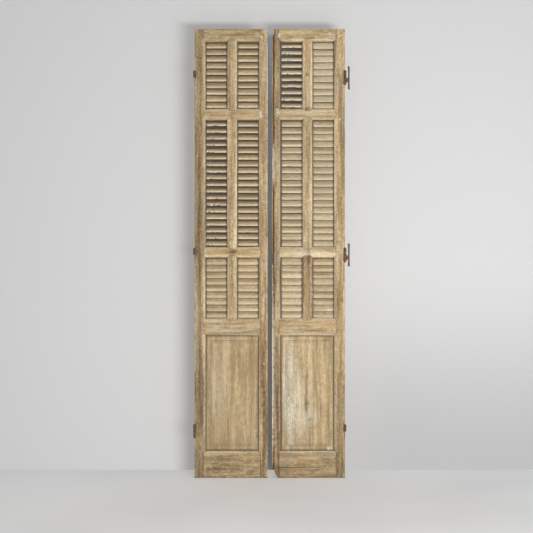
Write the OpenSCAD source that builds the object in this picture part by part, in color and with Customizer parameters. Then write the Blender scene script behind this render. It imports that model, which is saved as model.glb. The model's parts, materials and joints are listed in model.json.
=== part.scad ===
// A pair of framed wooden shutter leaves with pivoting louvres above and a raised panel below.
// Seen from the front, x runs to the right, y runs into the wood and z runs up.
// The origin is at the foot of the pair, midway between the leaves and midway through their thickness.

/* [Leaf] */
// Thickness of a leaf
leaf_t = 38; // [36:1:42]
// Width of the stile that carries the hinges
hinge_stile_w = 58; // [50:1:75]
// Width of the stile where the two leaves meet
meeting_stile_w = 47; // [44:1:60]
// Width of the upright between the two columns of louvres
mullion_w = 54; // [50:1:70]
// Clear width of one column of louvres
light_w = 115.5; // [100:0.5:160]
// Clear height of the panel's opening
panel_light_h = 617.5; // [450:0.5:800]
// Space between the two leaves
leaf_gap = 24; // [10:1:60]
// Width of the lip along each meeting edge
lip_w = 12; // [8:1:14]
// Depth behind the front face at which the two lips close on each other
lip_v = 10.5; // [8:0.5:20]

/* [Rails] */
// Height of the bottom rail
bottom_rail_h = 143.5; // [120:0.5:180]
// Height of the lock rail, above the panel
lock_rail_h = 92.5; // [80:0.5:110]
// Height of the rail between the lower and the middle louvres
middle_rail_h = 58; // [50:0.5:80]
// Height of the rail between the middle and the upper louvres
upper_rail_h = 60; // [50:0.5:80]
// Height of the top rail
top_rail_h = 64; // [56:0.5:90]

/* [Chamfers] */
// Width of the chamfer round each opening, on the front face
chamfer_w = 11; // [6:0.5:12]
// Depth of that chamfer
chamfer_d = 8; // [4:0.5:10]

/* [Joints] */
// Thickness of the tenons
tenon_t = 11; // [9:0.5:12]
// Wood left in a stile beyond the end of a tenon
tenon_cover = 19; // [18:1:22]
// Wood left in a rail above and below a tenon
tenon_inset = 13; // [12:0.5:15]
// Depth to which a mullion's tenon enters a rail
stub_l = 15; // [13:0.5:16]
// Radius of the pegs that pin the tenons
peg_r = 4; // [3:0.5:4.5]

/* [Louvres] */
// Height from one slat to the next
slat_pitch = 35.5; // [35:0.25:42]
// Width of a slat
slat_w = 42; // [38:1:42]
// Thickness of a slat
slat_t = 9; // [7:0.5:9]
// Radius of the round pivot at each end of a slat
pivot_r = 3.5; // [3:0.1:3.8]
// Number of slats in an upper column
upper_count = 10; // [6:1:14]
// Number of slats in a middle column
middle_count = 19; // [12:1:24]
// Number of slats in a lower column
lower_count = 9; // [6:1:14]

/* [Slope of the louvres] */
// Slope of the left leaf's upper slats beside the hinge stile
left_upper_outer_slope = 49; // [32:1:66]
// Slope of the left leaf's upper slats beside the meeting stile
left_upper_inner_slope = 49; // [32:1:66]
// Slope of the left leaf's middle slats beside the hinge stile
left_middle_outer_slope = 36; // [32:1:66]
// Slope of the left leaf's middle slats beside the meeting stile
left_middle_inner_slope = 43; // [32:1:66]
// Slope of the left leaf's lower slats beside the hinge stile
left_lower_outer_slope = 58; // [32:1:66]
// Slope of the left leaf's lower slats beside the meeting stile
left_lower_inner_slope = 60; // [32:1:66]
// Slope of the right leaf's upper slats beside the hinge stile
right_upper_outer_slope = 66; // [32:1:66]
// Slope of the right leaf's upper slats beside the meeting stile
right_upper_inner_slope = 38; // [32:1:66]
// Slope of the right leaf's middle slats beside the hinge stile
right_middle_outer_slope = 62; // [32:1:66]
// Slope of the right leaf's middle slats beside the meeting stile
right_middle_inner_slope = 51; // [32:1:66]
// Slope of the right leaf's lower slats beside the hinge stile
right_lower_outer_slope = 65; // [32:1:66]
// Slope of the right leaf's lower slats beside the meeting stile
right_lower_inner_slope = 66; // [32:1:66]

/* [Panel] */
// Depth of the raised field below the face of the frame
field_sink = 6; // [4:0.5:8]
// Width of the sloping border round the raised field
border_w = 28; // [20:1:40]
// Width of the moulded slope between that border and the field
moulding_w = 10; // [6:0.5:14]
// Thickness of the tongue that sits in the frame's groove
tongue_t = 8; // [6:0.5:9]
// Depth of the groove
groove_d = 10; // [8:0.5:11]

/* [Hinges] */
// Height of the lower hinges' parting above the bottom rail
lower_hinge_rise = 106; // [80:0.5:160]
// Height of the middle hinges' parting above the foot of the middle rail
middle_hinge_rise = 14; // [0:0.25:40]
// Depth of the upper hinges' parting below the top rail
upper_hinge_drop = 197; // [150:1:250]
// Outer radius of a knuckle
knuckle_r = 7; // [6.5:0.1:7.2]
// Height of one knuckle
knuckle_h = 36; // [32:1:40]
// Radius of the hinge pins
hinge_pin_r = 3.5; // [3:0.1:4]
// Height of the wing let into the leaf's edge
wing_h = 76; // [72:1:84]
// Width of that wing
wing_w = 30; // [26:1:32]
// Height of the plate that once held the leaf to the wall
plate_h = 122; // [110:1:130]
// Width of the plate at its ends
plate_w = 32; // [28:1:36]
// Width of the plate at its waist
plate_waist_w = 22; // [18:1:24]
// Distance from the hinge's axis to the middle of the plate
plate_reach = 17; // [15:0.5:20]
// Angle at which the plates stand away from the leaf's edge
plate_swing = 20; // [0:1:40]
// Distance between the two screw holes of a plate
plate_hole_gap = 92; // [84:1:96]

/* [Wear] */
// Length of the lip lost at the top of the right leaf's meeting edge
lip_loss_top = 30; // [20:1:60]
// Height of the break in that lip
lip_break_z = 1170; // [1100:1:1250]
// Length of that break
lip_break_l = 48; // [30:1:70]
// Width of that break
lip_break_w = 8; // [4:0.5:8]
// Height of the rotten corner at the foot of the right leaf's meeting stile
rot_h = 46; // [36:1:50]
// Width of that rotten corner
rot_w = 33; // [26:1:36]
// Height of the long split in the right leaf's bottom rail
split_z = 57; // [50:1:64]
// Length of that split, from the shoulder at the meeting stile
split_l = 226; // [150:1:240]

/* [Hidden] */
$fn = 48;
// Overshoot of a cutting shape past the face it cuts
over = 1;
// Clearance round a pivot, a peg, a pin or a screw
play = 0.08;
// Clearance between the front of a leaf and a knuckle
knuckle_clear = 0.6;
// Space left above and below the slats of a column
column_margin = 2.5;
// Space between the end of a slat and the wood beside it
slat_end_gap = 1.5;
// Length of a pivot beyond the end of its slat
pivot_l = 10;
// Space beyond the end of a pivot in its hole
pivot_end_gap = 1;
// Rise of the border from the tongue to the moulding
border_rise = 4;
// Upright step between the border and the moulding
quirk = 2;
// Rise of the moulding from that step to the field
moulding_rise = 3;
// Room for the panel to swell in its groove
panel_play = 1;
// Distance of a peg from the shoulder of its rail
peg_from_shoulder = 7;
// Wood left behind a peg
peg_cover = 6;
// A rail higher than this has two pegs at each end
two_peg_h = 80;
// Heights of the two pegs of a high rail, as parts of its height
peg_rows = [0.3, 0.7];
// Thickness of a hinge's wing and of a wall plate
wing_t = 3;
plate_t = 4;
// Height and thickness of the neck between a lower knuckle and its plate, and its drop below the parting
neck_h = 24;
neck_t = 7;
neck_drop = 2;
// Distance of a plate's middle line behind the hinge's axis
plate_set = 12;
// Height of the flare at each end of a plate
flare_h = 30;
// Radius of a plate's screw holes
plate_hole_r = 2.8;
// Head and shank of a hinge screw
screw_head_r = 4;
screw_rim = 0.4;
screw_head_h = 2.2;
screw_r = 2;
screw_l = 14;
screw_point = 4;
screw_gap = 26;
// Place of the screws across a wing, as a part of its width
screw_row = 0.6;
// Domed head at each end of a hinge pin
pin_head_r = 5;
pin_head_h = 2.5;
pin_head_gap = 0.3;
// Remains of the lower knuckle that rusted off the left leaf's lower hinge
stump_r = 6;
stump_h = 32;
// Size of the chip lost from the left leaf's top meeting corner
chip_w = 7;
chip_h = 19;
// Opening and depth of the split
split_w = 2.4;
split_d = 9;

wood = "#b79c78";
pale_wood = "#c2ab88";
rust = "#5c4536";

// Positions across a leaf, from its hinge edge
hinge_inner = hinge_stile_w;
mullion_u0 = hinge_inner + light_w;
mullion_u1 = mullion_u0 + mullion_w;
meeting_inner = mullion_u1 + light_w;
leaf_w = meeting_inner + meeting_stile_w;
slat_l = light_w - 2 * slat_end_gap;

// Heights up a leaf
function column_h(count) = count * slat_pitch + 2 * column_margin;
lock_z = bottom_rail_h + panel_light_h;
lower_z = lock_z + lock_rail_h;
middle_rail_z = lower_z + column_h(lower_count);
middle_z = middle_rail_z + middle_rail_h;
upper_rail_z = middle_z + column_h(middle_count);
upper_z = upper_rail_z + upper_rail_h;
top_rail_z = upper_z + column_h(upper_count);
leaf_h = top_rail_z + top_rail_h;
lower_hinge_z = bottom_rail_h + lower_hinge_rise;
middle_hinge_z = middle_rail_z + middle_hinge_rise;
upper_hinge_z = top_rail_z - upper_hinge_drop;

// Depths into a leaf, from its front face
tenon_v = (leaf_t - tenon_t) / 2;
step_v = field_sink + moulding_rise;
border_v = step_v + quirk;
tongue_v = border_v + border_rise;
hinge_v = -knuckle_r - knuckle_clear;

// Each rail: foot, height, chamfered below, chamfered above
bottom_rail_at = [0, bottom_rail_h, 0, 1];
lock_rail_at = [lock_z, lock_rail_h, 1, 1];
middle_rail_at = [middle_rail_z, middle_rail_h, 1, 1];
upper_rail_at = [upper_rail_z, upper_rail_h, 1, 1];
top_rail_at = [top_rail_z, top_rail_h, 1, 0];
rails = [bottom_rail_at, lock_rail_at, middle_rail_at, upper_rail_at, top_rail_at];

// Each column of louvres: foot and number of slats
lower_column = [lower_z, lower_count];
middle_column = [middle_z, middle_count];
upper_column = [upper_z, upper_count];
columns = [lower_column, middle_column, upper_column];

hinge_heights = [lower_hinge_z, middle_hinge_z, upper_hinge_z];
screw_rows = [-screw_gap, 0, screw_gap];

SIDES = ["left", "right"];
LEAF_NODES = [
    "hinge_stile", "meeting_stile",
    "top_rail", "upper_rail", "middle_rail", "lock_rail", "bottom_rail",
    "upper_mullion", "middle_mullion", "lower_mullion", "panel",
    "upper_outer_slats", "upper_inner_slats", "middle_outer_slats",
    "middle_inner_slats", "lower_outer_slats", "lower_inner_slats",
    "upper_hinge", "middle_hinge", "lower_hinge"
];
LONE_NODES = [
    "right_upper_wall_plate", "right_middle_wall_plate",
    "right_upper_hinge_pin", "right_middle_hinge_pin",
    "left_lower_hinge_pin", "left_lower_knuckle_stump",
    "hinge_screws", "tenon_pegs"
];

// Sets a leaf in its place: u from the hinge edge, v from the front face, z from the foot
module leaf(side) {
    mirror([side == "left" ? 0 : 1, 0, 0])
        translate([-leaf_gap / 2 - leaf_w, -leaf_t / 2, 0])
            children();
}

// A square-edged length of timber between two places in u, v and z
module timber(u, v, z) {
    translate([u[0], v[0], z[0]])
        cube([u[1] - u[0], v[1] - v[0], z[1] - z[0]]);
}

// A flat outline in u and z, from depth v0 to depth v1
module slab(outline, v0, v1) {
    translate([0, v1, 0])
        rotate([90, 0, 0])
            linear_extrude(v1 - v0)
                polygon(outline);
}

// Section of the wedge that chamfers a front edge: distance into the wood, depth
function wedge(w, d) = [[-w / 4, -d / 4], [w * 5 / 4, -d / 4], [-w / 4, d * 5 / 4]];

// Cuts a section along an upright edge at u = edge, with the wood on the side that into gives
module upright_cut(edge, into, section) {
    translate([0, 0, -over])
        linear_extrude(leaf_h + 2 * over)
            polygon([for (p = section) [edge + into * p[0], p[1]]]);
}

// Cuts a section along a level edge at z = edge
module level_cut(edge, into, section, u0 = 0, u1 = leaf_w) {
    translate([u0, 0, 0])
        rotate([0, 90, 0])
            linear_extrude(u1 - u0)
                polygon([for (p = section) [-edge - into * p[0], p[1]]]);
}

// Front outline of a rail, whose ends are mitred into the chamfers of the stiles
function rail_outline(rail, past = 0) =
    let (low = rail[0] - (1 - rail[2]) * past)
    let (high = rail[0] + rail[1] + (1 - rail[3]) * past)
    [
        [hinge_inner, low],
        [hinge_inner - chamfer_w, low + rail[2] * chamfer_w],
        [hinge_inner - chamfer_w, high - rail[3] * chamfer_w],
        [hinge_inner, high],
        [meeting_inner, high],
        [meeting_inner + chamfer_w, high - rail[3] * chamfer_w],
        [meeting_inner + chamfer_w, low + rail[2] * chamfer_w],
        [meeting_inner, low]
    ];

// Front outline of a mullion, whose ends are mitred into the chamfers of the rails
function mullion_outline(column) =
    let (low = column[0])
    let (high = low + column_h(column[1]))
    [
        [mullion_u0, low],
        [mullion_u0 + chamfer_w, low - chamfer_w],
        [mullion_u1 - chamfer_w, low - chamfer_w],
        [mullion_u1, low],
        [mullion_u1, high],
        [mullion_u1 - chamfer_w, high + chamfer_w],
        [mullion_u0 + chamfer_w, high + chamfer_w],
        [mullion_u0, high]
    ];

function peg_heights(rail) =
    rail[1] > two_peg_h ? [for (row = peg_rows) rail[0] + row * rail[1]] : [rail[0] + rail[1] / 2];

// Pegs through every tenon of a leaf, or the holes for them
module pegs(extra_r = 0, lead = 0) {
    inset = chamfer_w + peg_from_shoulder;
    for (rail = rails, u = [hinge_inner - inset, meeting_inner + inset], z = peg_heights(rail))
        translate([u, -lead, z])
            rotate([-90, 0, 0])
                cylinder(r = peg_r + extra_r, h = leaf_t - peg_cover + lead);
}

// Tenons of a rail, or the mortises for them
module tenons(rail) {
    timber([tenon_cover, leaf_w - tenon_cover], [tenon_v, tenon_v + tenon_t],
        [rail[0] + tenon_inset, rail[0] + rail[1] - tenon_inset]);
}

// Tenons of a mullion, or the mortises for them
module stubs(column) {
    timber([mullion_u0 + chamfer_w, mullion_u1 - chamfer_w], [tenon_v, tenon_v + tenon_t],
        [column[0] - stub_l, column[0] + column_h(column[1]) + stub_l]);
}

function slat_height(column, i) = column[0] + column_margin + (i + 0.5) * slat_pitch;

// Pivot holes for every slat of a leaf in the upright edge at u = edge
module pivot_holes(edge, into) {
    depth = pivot_l - slat_end_gap + pivot_end_gap;
    for (column = columns, i = [0 : column[1] - 1])
        translate([edge - into * over, leaf_t / 2, slat_height(column, i)])
            rotate([0, into * 90, 0])
                cylinder(r = pivot_r + play, h = depth + over);
}

// The panel's groove, right round its opening
module panel_groove() {
    timber([hinge_inner - groove_d, meeting_inner + groove_d], [tongue_v, tongue_v + tongue_t],
        [bottom_rail_h - groove_d, lock_z + groove_d]);
}

// Cuts that both stiles share: the rails' shoulders and mortises, the groove and the peg holes
module stile_cuts() {
    for (rail = rails) {
        slab(rail_outline(rail, over), -over, chamfer_d);
        tenons(rail);
    }
    panel_groove();
    pegs(play, over);
}

module hinge_stile(side) {
    color(wood)
        leaf(side)
            difference() {
                timber([0, hinge_inner], [0, leaf_t], [0, leaf_h]);
                stile_cuts();
                upright_cut(hinge_inner, -1, wedge(chamfer_w, chamfer_d));
                pivot_holes(hinge_inner, -1);
                for (z = hinge_heights) {
                    timber([-over, wing_t], [-over, wing_w], [z - wing_h / 2, z + wing_h / 2]);
                    wing_screws(z, play, over);
                }
            }
}

// The left leaf's lip is in front and the right leaf's is behind, so that they close on each other
module meeting_stile(side) {
    lip_u = [leaf_w - lip_w, leaf_w + over];
    rebate_v = side == "left" ? [lip_v, leaf_t + over] : [-over, lip_v];
    break_z = [lip_break_z - lip_break_l / 2, lip_break_z + lip_break_l / 2];
    color(wood)
        leaf(side)
            difference() {
                timber([meeting_inner, leaf_w], [0, leaf_t], [0, leaf_h]);
                stile_cuts();
                upright_cut(meeting_inner, 1, wedge(chamfer_w, chamfer_d));
                pivot_holes(meeting_inner, 1);
                timber(lip_u, rebate_v, [-over, leaf_h + over]);
                if (side == "left")
                    slab(chip_outline(), -over, leaf_t + over);
                else {
                    slab(rot_outline(), -over, leaf_t + over);
                    timber(lip_u, [-over, leaf_t + over], [leaf_h - lip_loss_top, leaf_h + over]);
                    timber([leaf_w - lip_break_w, leaf_w + over], [-over, leaf_t + over], break_z);
                }
            }
}

// The corner broken from the top of the left leaf
function chip_outline() = [
    [leaf_w + over, leaf_h - chip_h],
    [leaf_w - chip_w * 0.5, leaf_h - chip_h * 0.8],
    [leaf_w - chip_w, leaf_h + over],
    [leaf_w + over, leaf_h + over]
];

// The corner rotted from the foot of the right leaf
function rot_outline() = [
    [leaf_w + over, -over],
    [leaf_w + over, rot_h],
    [leaf_w - lip_w, rot_h * 0.94],
    [leaf_w - rot_w * 0.5, rot_h * 0.55],
    [leaf_w - rot_w * 0.78, rot_h * 0.28],
    [leaf_w - rot_w, -over]
];

// A rail with its mitred face, its tenons and the mortises of the mullions that meet it
module rail(side, at) {
    foot = at[0];
    head = at[0] + at[1];
    color(wood)
        leaf(side)
            difference() {
                union() {
                    slab(rail_outline(at), 0, chamfer_d);
                    timber([hinge_inner, meeting_inner], [chamfer_d, leaf_t], [foot, head]);
                    tenons(at);
                }
                for (column = columns) {
                    slab(mullion_outline(column), -over, chamfer_d);
                    stubs(column);
                }
                if (at[2] > 0)
                    level_cut(foot, 1, wedge(chamfer_w, chamfer_d));
                if (at[3] > 0)
                    level_cut(head, -1, wedge(chamfer_w, chamfer_d));
                panel_groove();
                pegs(play, over);
            }
}

// The right leaf's bottom rail has a long split, which starts at the meeting stile
module bottom_rail(side) {
    split_end = meeting_inner + chamfer_w + over;
    split_start = split_end - split_l;
    color(wood)
        difference() {
            rail(side, bottom_rail_at);
            if (side == "right")
                leaf(side)
                    for (into = [-1, 1])
                        level_cut(split_z, into, wedge(split_w / 2, split_d), split_start, split_end);
        }
}

module mullion(side, column) {
    foot = column[0];
    head = foot + column_h(column[1]);
    color(wood)
        leaf(side)
            difference() {
                union() {
                    slab(mullion_outline(column), 0, chamfer_d);
                    timber([mullion_u0, mullion_u1], [chamfer_d, leaf_t], [foot, head]);
                    stubs(column);
                }
                upright_cut(mullion_u0, 1, wedge(chamfer_w, chamfer_d));
                upright_cut(mullion_u1, -1, wedge(chamfer_w, chamfer_d));
                pivot_holes(mullion_u0, 1);
                pivot_holes(mullion_u1, -1);
            }
}

// Section cut from each edge of the panel's face: distance from the opening's edge, depth
function border_section() =
    let (lift = moulding_w * over / moulding_rise)
    [
        [-groove_d - over, field_sink - over],
        [border_w + moulding_w + lift, field_sink - over],
        [border_w, step_v],
        [border_w, border_v],
        [0, tongue_v],
        [-groove_d - over, tongue_v]
    ];

// A board with a tongue all round, a sloping border, a small step and a moulded rise to the field
module panel(side) {
    tongue = groove_d - panel_play;
    color(pale_wood)
        leaf(side)
            difference() {
                timber([hinge_inner - tongue, meeting_inner + tongue], [field_sink, tongue_v + tongue_t],
                    [bottom_rail_h - tongue, lock_z + tongue]);
                upright_cut(hinge_inner, 1, border_section());
                upright_cut(meeting_inner, -1, border_section());
                level_cut(bottom_rail_h, 1, border_section());
                level_cut(lock_z, -1, border_section());
            }
}

// A flat slat with rounded long edges, seen from its end
function slat_section() =
    let (centre = (slat_w - slat_t) / 2)
    let (r = slat_t / 2)
    concat(
        [for (a = [-90 : 30 : 90]) [centre + r * cos(a), r * sin(a)]],
        [for (a = [90 : 30 : 270]) [-centre + r * cos(a), r * sin(a)]]
    );

// One slat with a round pivot at each end
module slat() {
    rotate([90, 0, 90])
        linear_extrude(slat_l)
            polygon(slat_section());
    translate([-pivot_l, 0, 0])
        rotate([0, 90, 0])
            cylinder(r = pivot_r, h = slat_l + 2 * pivot_l);
}

// A column of slats whose first edge is at u, sloping down to the front
module slats(side, column, u, slope) {
    color(pale_wood)
        leaf(side)
            for (i = [0 : column[1] - 1])
                translate([u + slat_end_gap, leaf_t / 2, slat_height(column, i)])
                    rotate([slope, 0, 0])
                        slat();
}

// A round bar or bore on a hinge's axis
module round_bar(r, z0, z1) {
    translate([0, hinge_v, z0])
        cylinder(r = r, h = z1 - z0);
}

// Leaf half of a hinge: a wing let into the leaf's edge, and the upper knuckle
module leaf_hinge(side, z) {
    color(rust)
        leaf(side)
            difference() {
                union() {
                    timber([0, wing_t], [0, wing_w], [z - wing_h / 2, z + wing_h / 2]);
                    timber([0, wing_t], [hinge_v, over], [z, z + knuckle_h]);
                    round_bar(knuckle_r, z, z + knuckle_h);
                }
                round_bar(hinge_pin_r + play, z - over, z + knuckle_h + over);
                wing_screws(z, play, over);
            }
}

// The countersunk screws of a wing, or the holes for them
module wing_screws(z, extra = 0, lead = 0) {
    for (row = screw_rows)
        translate([0, wing_w * screw_row, z + row])
            rotate([0, 90, 0])
                rotate_extrude()
                    polygon([
                        [0, -lead],
                        [screw_head_r + extra, -lead],
                        [screw_head_r + extra, screw_rim],
                        [screw_r + extra, screw_head_h],
                        [screw_r + extra, screw_l - screw_point],
                        [0, screw_l + extra]
                    ]);
}

// Outline of a wall plate, flared at both ends: distance behind the hinge's axis, height
function plate_outline() =
    let (end = plate_w / 2)
    let (waist = plate_waist_w / 2)
    let (top = plate_h / 2)
    let (flare = top - flare_h)
    [
        [plate_set - end, -top], [plate_set + end, -top], [plate_set + waist, -flare],
        [plate_set + waist, flare], [plate_set + end, top], [plate_set - end, top],
        [plate_set - waist, flare], [plate_set - waist, -flare]
    ];

// Wall half of a hinge: the lower knuckle, its neck and the plate, swung away from the leaf
module wall_plate(side, z) {
    neck_z = [-neck_drop - neck_h, -neck_drop];
    color(rust)
        leaf(side)
            translate([0, hinge_v, z])
                rotate([0, 0, plate_swing])
                    difference() {
                        union() {
                            translate([0, 0, -knuckle_h])
                                cylinder(r = knuckle_r, h = knuckle_h);
                            timber([-plate_reach, 0], [-neck_t / 2, neck_t / 2], neck_z);
                            translate([-plate_reach - plate_t / 2, 0, 0])
                                rotate([90, 0, 90])
                                    linear_extrude(plate_t)
                                        polygon(plate_outline());
                        }
                        translate([0, 0, -knuckle_h - over])
                            cylinder(r = hinge_pin_r + play, h = knuckle_h + 2 * over);
                        for (row = [-plate_hole_gap / 2, plate_hole_gap / 2])
                            translate([-plate_reach - plate_t, plate_set, row])
                                rotate([0, 90, 0])
                                    cylinder(r = plate_hole_r, h = 2 * plate_t);
                    }
}

// A pin with a bevelled head above the upper knuckle and another below whatever hangs on it
module hinge_pin(side, z, hanging_h) {
    top = z + knuckle_h + pin_head_gap;
    foot = z - hanging_h - pin_head_gap;
    bevel = pin_head_h / 2;
    color(rust)
        leaf(side)
            translate([0, hinge_v, 0])
                rotate_extrude()
                    polygon([
                        [0, foot - pin_head_h],
                        [pin_head_r - bevel, foot - pin_head_h],
                        [pin_head_r, foot - bevel],
                        [pin_head_r, foot],
                        [hinge_pin_r, foot],
                        [hinge_pin_r, top],
                        [pin_head_r, top],
                        [pin_head_r, top + bevel],
                        [pin_head_r - bevel, top + pin_head_h],
                        [0, top + pin_head_h]
                    ]);
}

// What is left of the left leaf's lowest wall knuckle, rusted on to its pin
module knuckle_stump() {
    color(rust)
        leaf("left")
            difference() {
                round_bar(stump_r, lower_hinge_z - stump_h, lower_hinge_z);
                round_bar(hinge_pin_r + play, lower_hinge_z - stump_h - over, lower_hinge_z + over);
            }
}

// Every screw of the six wings
module hinge_screws() {
    color(rust)
        for (side = SIDES, z = hinge_heights)
            leaf(side)
                wing_screws(z);
}

// Every peg of both leaves
module tenon_pegs() {
    color(wood)
        for (side = SIDES)
            leaf(side)
                pegs();
}

hinge_stile("left");  // left_hinge_stile
meeting_stile("left");  // left_meeting_stile
rail("left", top_rail_at);  // left_top_rail
rail("left", upper_rail_at);  // left_upper_rail
rail("left", middle_rail_at);  // left_middle_rail
rail("left", lock_rail_at);  // left_lock_rail
bottom_rail("left");  // left_bottom_rail
mullion("left", upper_column);  // left_upper_mullion
mullion("left", middle_column);  // left_middle_mullion
mullion("left", lower_column);  // left_lower_mullion
panel("left");  // left_panel
slats("left", upper_column, hinge_inner, left_upper_outer_slope);  // left_upper_outer_slats
slats("left", upper_column, mullion_u1, left_upper_inner_slope);  // left_upper_inner_slats
slats("left", middle_column, hinge_inner, left_middle_outer_slope);  // left_middle_outer_slats
slats("left", middle_column, mullion_u1, left_middle_inner_slope);  // left_middle_inner_slats
slats("left", lower_column, hinge_inner, left_lower_outer_slope);  // left_lower_outer_slats
slats("left", lower_column, mullion_u1, left_lower_inner_slope);  // left_lower_inner_slats
leaf_hinge("left", upper_hinge_z);  // left_upper_hinge
leaf_hinge("left", middle_hinge_z);  // left_middle_hinge
leaf_hinge("left", lower_hinge_z);  // left_lower_hinge

hinge_stile("right");  // right_hinge_stile
meeting_stile("right");  // right_meeting_stile
rail("right", top_rail_at);  // right_top_rail
rail("right", upper_rail_at);  // right_upper_rail
rail("right", middle_rail_at);  // right_middle_rail
rail("right", lock_rail_at);  // right_lock_rail
bottom_rail("right");  // right_bottom_rail
mullion("right", upper_column);  // right_upper_mullion
mullion("right", middle_column);  // right_middle_mullion
mullion("right", lower_column);  // right_lower_mullion
panel("right");  // right_panel
slats("right", upper_column, hinge_inner, right_upper_outer_slope);  // right_upper_outer_slats
slats("right", upper_column, mullion_u1, right_upper_inner_slope);  // right_upper_inner_slats
slats("right", middle_column, hinge_inner, right_middle_outer_slope);  // right_middle_outer_slats
slats("right", middle_column, mullion_u1, right_middle_inner_slope);  // right_middle_inner_slats
slats("right", lower_column, hinge_inner, right_lower_outer_slope);  // right_lower_outer_slats
slats("right", lower_column, mullion_u1, right_lower_inner_slope);  // right_lower_inner_slats
leaf_hinge("right", upper_hinge_z);  // right_upper_hinge
leaf_hinge("right", middle_hinge_z);  // right_middle_hinge
leaf_hinge("right", lower_hinge_z);  // right_lower_hinge

wall_plate("right", upper_hinge_z);  // right_upper_wall_plate
wall_plate("right", middle_hinge_z);  // right_middle_wall_plate
hinge_pin("right", upper_hinge_z, knuckle_h);  // right_upper_hinge_pin
hinge_pin("right", middle_hinge_z, knuckle_h);  // right_middle_hinge_pin
hinge_pin("left", lower_hinge_z, stump_h);  // left_lower_hinge_pin
knuckle_stump();  // left_lower_knuckle_stump
hinge_screws();
tenon_pegs();
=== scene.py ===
import json
import math
import random

import bmesh
import bpy
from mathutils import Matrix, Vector, noise
from mathutils.bvhtree import BVHTree

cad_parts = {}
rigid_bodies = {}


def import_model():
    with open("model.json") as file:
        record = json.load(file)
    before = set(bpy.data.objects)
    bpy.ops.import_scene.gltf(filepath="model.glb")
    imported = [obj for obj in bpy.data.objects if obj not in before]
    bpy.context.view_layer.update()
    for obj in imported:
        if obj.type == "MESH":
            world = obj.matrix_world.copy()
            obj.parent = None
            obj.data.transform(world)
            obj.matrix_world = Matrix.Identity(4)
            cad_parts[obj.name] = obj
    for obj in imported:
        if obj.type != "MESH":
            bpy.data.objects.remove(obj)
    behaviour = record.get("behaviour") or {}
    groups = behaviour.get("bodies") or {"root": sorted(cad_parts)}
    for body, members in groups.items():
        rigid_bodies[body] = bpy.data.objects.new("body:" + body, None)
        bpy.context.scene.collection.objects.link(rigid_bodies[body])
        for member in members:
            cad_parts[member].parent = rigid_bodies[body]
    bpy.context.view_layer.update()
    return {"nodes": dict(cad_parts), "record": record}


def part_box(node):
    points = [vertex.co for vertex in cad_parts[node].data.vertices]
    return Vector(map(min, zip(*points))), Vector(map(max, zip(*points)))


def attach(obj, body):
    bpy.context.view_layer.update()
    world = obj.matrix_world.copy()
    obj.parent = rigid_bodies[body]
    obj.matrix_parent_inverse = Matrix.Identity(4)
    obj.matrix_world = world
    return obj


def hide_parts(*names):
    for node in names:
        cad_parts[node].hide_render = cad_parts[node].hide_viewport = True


# A pair of old louvred shutter leaves of bare pine, standing in a plain studio

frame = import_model()
NODES = frame["nodes"]
BODY_OF = {
    node: body
    for body, members in frame["record"]["behaviour"]["bodies"].items()
    for node in members
}

# The photograph's frame: its width in pixels, the size of a pixel at the leaves' front,
# and the pixel in which the foot of the pair stands.
PHOTO_W = 533
PIXEL = 0.005346
FOOT_PX = (269.8, 477.9)
EYE_DISTANCE = 5.0

LEAF_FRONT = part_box("left_hinge_stile")[0].y

UP = Vector((0, 0, 1))
ACROSS = Vector((1, 0, 0))
INTO = Vector((0, 1, 0))


# Colours as they look, turned into the light that they give back
def shade(red, green, blue):
    def linear(value):
        part = value / 255
        return part / 12.92 if part <= 0.04045 else ((part + 0.055) / 1.055) ** 2.4

    return (linear(red), linear(green), linear(blue), 1)


PALE_PINE = shade(219, 197, 157)
CREAM_PINE = shade(225, 208, 175)
PINE = shade(193, 167, 125)
BROWN_PINE = shade(165, 136, 97)
TAN_PINE = shade(179, 153, 112)
RED_PINE = shade(178, 144, 108)
GREY_PINE = shade(168, 157, 137)
BLEACHED_AND_HIGHLIGHT = shade(228, 216, 190)
KNOT = shade(112, 80, 52)
GRIME_AND_SHADE = shade(64, 51, 40)
OLD_PAINT = shade(234, 226, 208)
DARK_RUST = shade(88, 68, 54)
RED_RUST = shade(136, 98, 70)
BROWN_RUST = shade(106, 82, 64)
DRY_RUST = shade(162, 140, 114)
WALL_GREY = shade(194, 194, 194)
LOW_SHADE_GREY = shade(158, 158, 158)
GAP_SHADE_GREY = shade(192, 207, 229)
DEEP_SHADE = shade(104, 104, 104)
FLOOR_GREY = shade(250, 250, 250)


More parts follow.
